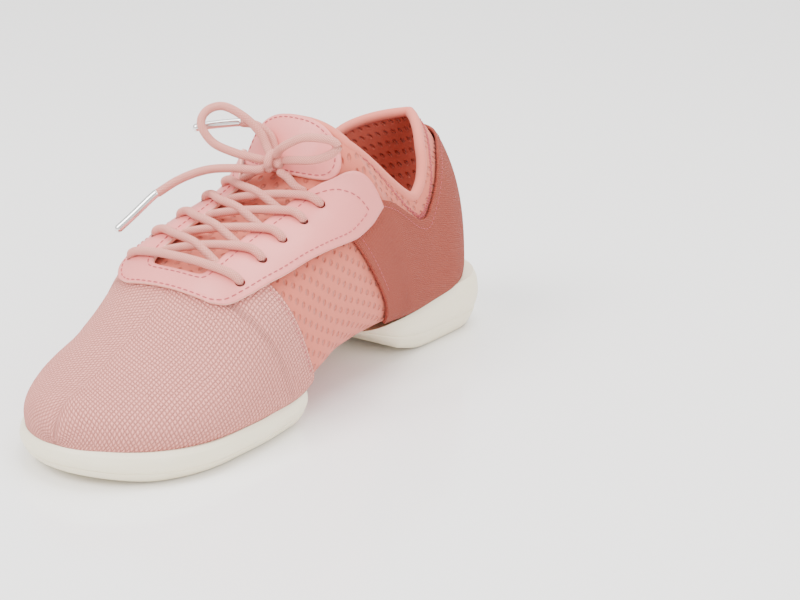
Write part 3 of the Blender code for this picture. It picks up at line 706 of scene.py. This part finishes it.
facing_seam("facing_seam_outer", 0.87, 0.35)
facing_seam("facing_seam_inner", 0.13, 0.35)
for side, word in ((1, "medial"), (-1, "lateral")):
    end_across = np.linspace(0.13, 0.87, 60)
    place = facing_place(np.full(60, len(FACING) - 1.35), end_across)
    path, normal = lifted(*place, side, FACING_LIFT + LEATHER)
    stitches(f"facing_seam_top_{word}", path, normal)
    edge_sections = np.linspace(HEEL_START + 3, QUARTER_FRONT - 8, 160)
    edge_line = edge_share(edge_sections, "quarter") + 0.035
    path, normal = lifted(edge_sections, edge_line, side, CANVAS_LIFT + CANVAS)
    stitches(f"quarter_seam_{word}", path, normal, 1.5, 0.9, 0.16)
    down = np.linspace(0.66, 1.05, 80)
    path, normal = lifted(np.full(80, QUARTER_FRONT - 3.0), down, side, CANVAS_LIFT + CANVAS)
    stitches(f"quarter_front_seam_{word}", path, normal, 1.5, 0.9, 0.16)
    down = np.linspace(0.50, 1.05, 80)
    path, normal = lifted(np.full(80, VAMP_REAR + 2.0), down, side, CANVAS_LIFT + CANVAS)
    stitches(f"vamp_seam_{word}", path, normal, 1.5, 0.9, 0.16)
    rim_sections = np.linspace(HEEL_START + 1, TONGUE_TOP - 0.5, 260)
    sway = 0.010 * np.sign(np.sin(np.arange(260) * math.pi / 2 + 0.1))
    path, normal = lifted(rim_sections, edge_share(rim_sections, "collar") + 0.085 + sway, side, 0.0)
    stitches(f"collar_zigzag_{word}", path, normal, 1.3, 0.4, 0.22)


# Tongue patch: an oval of the facing's leather, bare, sewn on the front of the collar 2.5 mm
# inside its edge. Its top runs level with the collar's peak.
PATCH_MIDDLE, PATCH_REACH, PATCH_WIDE, PATCH_LIFT = 76.9, 4.3, 0.37, 0.6


def patch_place(radius, angle):
    """Section, share and side of a point of the oval patch by its radius and angle."""
    share = PATCH_WIDE * radius * np.cos(angle)
    return PATCH_MIDDLE + PATCH_REACH * radius * np.sin(angle), np.abs(share), np.where(share >= 0, 1.0, -1.0)


turn = np.linspace(0, 2 * math.pi, 97)[None, :]
rings = np.linspace(0, 1, 22)[:, None]
place, _ = lifted(*patch_place(rings, turn), PATCH_LIFT)
patch = add_mesh("patch_piece", to_world(place), grid_faces(22, 97), cloth_uv(place))
weld(patch)
patch.data.materials.append(leather)
patch.data.materials.append(leather_edge)
wall(patch, LEATHER, 1, 1)
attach(patch, "root")
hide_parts("tongue_patch")
path, normal = lifted(*patch_place(np.full(97, 0.86), turn[0]), PATCH_LIFT + LEATHER)
stitches("patch_seam", path, normal, 1.8, 1.0)


# Footbed: a thin foam insole under plain knit, which shows as the dark floor inside the collar.
footbed = bpy.data.objects["insole"]
knit, knit_shader, knit_links = new_material("footbed_knit", (0.45, 0.12, 0.09), 0.95)
grain = knit.node_tree.nodes.new("ShaderNodeTexNoise")
grain.inputs["Scale"].default_value = 900
spot = knit.node_tree.nodes.new("ShaderNodeTexCoord")
knit_links.new(spot.outputs["Object"], grain.inputs["Vector"])
two_tone(knit, knit_shader, grain.outputs[0], (0.38, 0.09, 0.07), (0.52, 0.16, 0.12))
relief(knit, knit_shader, grain.outputs[0], 0.0003)
footbed.data.materials.clear()
footbed.data.materials.append(knit)


# Soles: two cream rubber pads, moulded with rounded sides that swell out and tuck in to the
# floor. Each is cemented to the lasted upper, which its rim follows.
SOLE_COLUMNS = ("u", "medial", "lateral", "rim", "ground")
HEEL_PAD = np.array([
    (0, 33.0, 33.0, 25.0, 1.0),
    (12, 33.0, 33.0, 24.5, 0.0),
    (40, 33.0, 34.0, 23.0, 0.0),
    (56, 33.0, 34.5, 22.0, 0.4),
    (74, 32.0, 35.0, 20.5, 4.5),
    (90, 31.0, 36.0, 19.5, 11.0),
])
FOREFOOT_PAD = np.array([
    (146, 40.0, 45.0, 19.5, 4.0),
    (154, 42.0, 46.0, 17.5, 0.6),
    (166, 44.0, 47.5, 14.0, 0.0),
    (190, 46.0, 47.8, 12.2, 0.0),
    (215, 46.0, 46.5, 12.2, 0.0),
    (240, 46.0, 45.5, 13.5, 0.3),
    (262, 46.0, 45.0, 15.5, 3.2),
])
CREASE = 0.5
SIDE_COLUMNS = ("share", "inset")
SIDE = np.array([(0.0, 5.5), (0.10, 3.6), (0.36, 1.2), (0.62, 0.0), (0.84, 0.5), (1.0, 2.2)])


def pad_outline(table, count, rear_round, front_round):
    """Plan outline of a pad: u goes from end to end by a cosine, and v is the half-width times two caps,
    square roots of one less a power of the distance to each end, over that end's rounding."""
    turn = np.linspace(0, math.pi, count)
    start, end = table[0, 0], table[-1, 0]
    u = start + (end - start) * (1 - np.cos(turn)) / 2
    back = np.clip((u - start) / rear_round, 0, 1)
    ahead = np.clip((end - u) / front_round, 0, 1)
    cap = np.sqrt(1 - (1 - back) ** 2.4) * np.sqrt(1 - (1 - ahead) ** 2)
    medial = column(table, SOLE_COLUMNS, "medial", u) * cap
    lateral = -column(table, SOLE_COLUMNS, "lateral", u) * cap
    return np.concatenate([np.column_stack([u, medial]), np.column_stack([u, lateral])[-2:0:-1]])


CREAM = (0.87, 0.78, 0.58)
rubber, rubber_shader, rubber_links = new_material("sole_rubber", CREAM, 0.42, subsurface_weight=0.05)
mottle = rubber.node_tree.nodes.new("ShaderNodeTexNoise")
mottle.inputs["Scale"].default_value = 45
spot = rubber.node_tree.nodes.new("ShaderNodeTexCoord")
rubber_links.new(spot.outputs["Object"], mottle.inputs["Vector"])
two_tone(rubber, rubber_shader, mottle.outputs[0], (0.84, 0.74, 0.53), (0.90, 0.82, 0.64))
fine = rubber.node_tree.nodes.new("ShaderNodeTexNoise")
fine.inputs["Scale"].default_value = 1500
rubber_links.new(spot.outputs["Object"], fine.inputs["Vector"])
relief(rubber, rubber_shader, fine.outputs[0], 0.00006, 0.5)

seat_sections = np.concatenate([tight(HEEL_START, 88, 40, at_start=1.6), np.linspace(90, 166, 30),
                                tight(168, TOE_END, 50, at_end=1.7)])
seat_shares = np.broadcast_to(np.linspace(0.5, 2.0, 60), (len(seat_sections), 60))
seat_points, seat_quads = [], []
for side in (1, -1):
    place, _ = lifted(seat_sections[:, None], seat_shares, side, CANVAS_LIFT + CANVAS + 0.1)
    seat_quads.append(grid_faces(*seat_shares.shape, start=sum(len(p) for p in seat_points), flip=side > 0))
    seat_points.append(place.reshape(-1, 3))
seat = add_mesh("seat_form", to_world(np.vstack(seat_points)), np.vstack(seat_quads))
close_ends(seat)


def make_pad(name, table, rounds, node):
    """A pad of stacked rings: each is the plan outline moved inwards by the side profile's inset, at the
    floor's height plus its share of the rise to the rim. The lasted upper is then cut out of it."""
    count, steps = 121, 64
    outline = pad_outline(table, count, *rounds)
    tangent = np.roll(outline, -1, 0) - np.roll(outline, 1, 0)
    normal = np.column_stack([tangent[:, 1], -tangent[:, 0]])
    normal /= np.linalg.norm(normal, axis=1)[:, None]
    rim = column(table, SOLE_COLUMNS, "rim", outline[:, 0])
    ground = column(table, SOLE_COLUMNS, "ground", outline[:, 0])
    share = np.linspace(0, 1, steps)[:, None]
    inset = column(SIDE, SIDE_COLUMNS, "inset", share) + CREASE * np.exp(-((share - 0.36) / 0.028) ** 2)
    place = outline[None] + normal[None] * inset[..., None]
    height = ground[None] + (rim - ground)[None] * share
    points = np.concatenate([place, height[..., None]], axis=-1)
    total = len(outline)
    index = np.arange(steps * total).reshape(steps, total)
    below, above = index[:-1], index[1:]
    quads = np.stack([below, np.roll(below, -1, 1), np.roll(above, -1, 1), above], -1).reshape(-1, 4)
    near = np.arange(1, count - 2)
    caps = []
    for row in (index[0], index[-1]):
        caps.append(np.stack([row[near], row[near + 1], row[total - near - 1], row[total - near]], -1))
        caps.append(np.array([[row[0], row[1], row[total - 1], row[0]]]))
        caps.append(np.array([[row[count - 2], row[count - 1], row[total - count + 2], row[count - 2]]]))
    faces = [list(dict.fromkeys(face)) for face in np.vstack([quads] + caps).tolist()]
    data = bpy.data.meshes.new(name)
    data.from_pydata(to_world(points).reshape(-1, 3).tolist(), [], faces)
    piece = bpy.data.objects.new(name, data)
    bpy.context.scene.collection.objects.link(piece)
    close_ends(piece)
    piece.data.materials.append(rubber)
    cut = piece.modifiers.new("seat", "BOOLEAN")
    cut.object = seat
    cut.operation = "DIFFERENCE"
    bake_modifiers(piece)
    piece.data.shade_smooth()
    piece.data.set_sharp_from_angle(angle=math.radians(40))
    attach(piece, "root")
    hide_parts(node)


make_pad("heel_pad", HEEL_PAD, (30.0, 16.0), "heel_sole")
make_pad("forefoot_pad", FOREFOOT_PAD, (14.0, 54.0), "forefoot_sole")
bpy.data.objects.remove(seat)


# Lacing: round braided cord, 3.6 mm thick. The bar lies over the facing between the lowest
# eyelets; each later strand comes out under one edge of the throat, crosses the middle and goes
# down into the next eyelet of the other side.
LACE = 3.6


def make_braid():
    """Group: braided cord from two crossed families of helical ridges; out comes their height."""
    sockets = [("Vector", "NodeSocketVector", None), ("Pitch", "NodeSocketFloat", 1.1)]
    made, start, end = group("braid", sockets, [("Height", "NodeSocketFloat")])
    split = made.nodes.new("ShaderNodeSeparateXYZ")
    made.links.new(start.outputs["Vector"], split.inputs[0])
    x = math_node(made, "DIVIDE", split.outputs[0], 0.9)
    y = math_node(made, "DIVIDE", split.outputs[1], start.outputs["Pitch"])
    left = math_node(made, "SINE", math_node(made, "MULTIPLY", math_node(made, "ADD", x, y), math.pi))
    right = math_node(made, "SINE", math_node(made, "MULTIPLY", math_node(made, "SUBTRACT", x, y), math.pi))
    crossed = math_node(made, "ABSOLUTE", math_node(made, "MULTIPLY", left, right))
    height = math_node(made, "POWER", crossed, 0.6)
    made.links.new(height, end.inputs["Height"])
    return made


braid = make_braid()
cord_finish, cord_shader, _ = new_material("lace_cord", (0.86, 0.42, 0.36), 0.85, sheen_weight=0.05)
ridges = use_group(cord_finish, braid, Pitch=1.1)
# The cord's colour follows the braid's height: painted shade in the grooves between strands, pale rose on the
# ridges.
two_tone(cord_finish, cord_shader, ridges.outputs["Height"], (0.66, 0.18, 0.14), (0.93, 0.42, 0.35))
relief(cord_finish, cord_shader, ridges.outputs["Height"], 0.00035)

TOP = FACING_LIFT + LEATHER


def lace_point(base, share, side, height):
    """A point above the last's surface at the height given."""
    return tuple(lifted(float(base), float(share), side, height)[0])


def eyelet_end(base, side):
    """The last points of a strand as it turns down into its eyelet from the throat's side."""
    return [lace_point(base, 0.22, side, TOP + 1.9), lace_point(base, 0.285, side, TOP + 1.7),
            lace_point(base, 0.318, side, TOP + 0.4), lace_point(base, 0.330, side, TOP - 1.4)]


bar_route = eyelet_end(EYELET_BASES[0], -1)[::-1]
bar_route += [lace_point(EYELET_BASES[0] + 0.4, 0.09, -1, TOP + 2.2),
              lace_point(EYELET_BASES[0] + 0.6, 0.0, 1, TOP + 2.6),
              lace_point(EYELET_BASES[0] + 0.4, 0.09, 1, TOP + 2.2)]
bar_route += eyelet_end(EYELET_BASES[0], 1)
bar, _ = tube("lace_bar_cord", bar_route, LACE / 2, cord_finish)
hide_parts("lace_bar")
for number, (low, high) in enumerate(zip(EYELET_BASES, EYELET_BASES[1:]), 1):
    for side, word in ((1, "medial"), (-1, "lateral")):
        start = low + (high - low) * 0.18
        over = 1.6 if side < 0 else 0.2
        crossing = [lace_point(start, 0.15, -side, FACING_LIFT - 0.6),
                    lace_point(start + (high - low) * 0.10, 0.085, -side, FACING_LIFT + 0.8),
                    lace_point(start + (high - low) * 0.30, 0.0, 1, TOP + 0.8 + over),
                    lace_point(start + (high - low) * 0.55, 0.11, side, TOP + 2.2)]
        strand, _ = tube(f"lace_{word}_{number}", crossing + eyelet_end(high, side), LACE / 2, cord_finish)
        if side > 0:
            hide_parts(f"lace_crossing_{number}")
for side, word in ((1, "medial"), (-1, "lateral")):
    route = [lace_point(84, 0.20, side, FACING_LIFT - 0.4), lace_point(84, 0.13, side, FACING_LIFT + 2),
             (125, side * 8, 90.5), (125, side * 3, 92.5)]
    tie, _ = tube(f"lace_tie_{word}", route, LACE / 2, cord_finish)


# Bow: the two ends are tied in a bow with a small knot. Its loops stand up from the knot, and
# each end runs out to a crimped metal tip.
LOOP_MEDIAL = ((123, 4.5, 96.5), (124, 12, 98), (122.5, 20, 99), (119.5, 26, 101.5), (118, 29, 105),
               (120, 26, 108), (125, 17, 108.5), (127.5, 10, 105), (126, 5, 101.5))
LOOP_LATERAL = ((127, -5, 96.5), (132, -14, 99), (136, -22, 103), (137, -27, 110), (133, -27, 115),
                (128, -22, 116.5), (124, -14, 112), (122, -8, 106), (122, -5, 101.5))
END_FRONT = ((129, -4, 92.5), (134, -12, 93), (141, -21, 92.5), (149, -29, 89), (157, -36, 83))
END_REAR = ((118, -3.5, 97.5), (115, -8, 103), (116, -15, 107), (120, -21, 108))
AGLET_FRONT = ((157.6, -36.6, 82.4), (165, -42, 74.5), (170.5, -46.0, 69.0))
AGLET_REAR = ((120.6, -21.8, 108.0), (127, -30, 107.0), (131.8, -36, 105.8))

metal, metal_shader, metal_links = new_material("aglet_metal", (0.78, 0.77, 0.76), 0.16, metallic=1.0)
brushed = metal.node_tree.nodes.new("ShaderNodeTexNoise")
brushed.inputs["Scale"].default_value = 700
spot = metal.node_tree.nodes.new("ShaderNodeTexCoord")
metal_links.new(spot.outputs["Object"], brushed.inputs["Vector"])
metal_links.new(math_node(metal.node_tree, "MULTIPLY_ADD", brushed.outputs[0], 0.15, 0.10),
                metal_shader.inputs["Roughness"])


wrap_turn = np.linspace(-0.35 * math.pi, 1.35 * math.pi, 9)
wrap = [(124.5 + 3.6 * math.cos(a), 0.6, 95.5 + 3.8 * math.sin(a)) for a in wrap_turn]
knot, _ = tube("knot_wrap", wrap, LACE / 2, cord_finish, spacing=0.6)
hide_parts("lace_knot")
core, _ = tube("knot_core", ((125, -5.5, 95), (124.5, 0, 95.6), (124, 5.5, 95)), 2.4, cord_finish)
metal_tips = {}
for name, route, node in (("aglet_tip_front", ((155.6, -34.4, 84.4),) + AGLET_FRONT, "aglet_front"),
                          ("aglet_tip_rear", ((119.3, -19.4, 107.8),) + AGLET_REAR, "aglet_rear")):
    tip, _ = tube(name, route, 1.75, metal, spacing=0.4)
    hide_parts(node)
    metal_tips[node] = tip
medial_route = LOOP_MEDIAL + ((125, 1.5, 98),)
lateral_route = ((125, -1, 95.8),) + LOOP_LATERAL + ((124, -1, 97.5),)
front_route = ((125.5, -0.5, 94.5),) + END_FRONT
rear_route = ((124.5, 3.0, 95.0), (121.5, -0.5, 95.6)) + END_REAR
for name, route, node, tips, end in (
        ("bow_loop_medial", medial_route, "lace_loop_medial", [knot], "knot"),
        ("bow_loop_lateral", lateral_route, "lace_loop_lateral", [core], "knot"),
        ("bow_end_front", front_route, "lace_end_front", [metal_tips["aglet_front"]], "fitting"),
        ("bow_end_rear", rear_route, "lace_end_rear", [metal_tips["aglet_rear"]], "fitting")):
    piece, path = tube(name, route, LACE / 2, cord_finish)
    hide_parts(node)
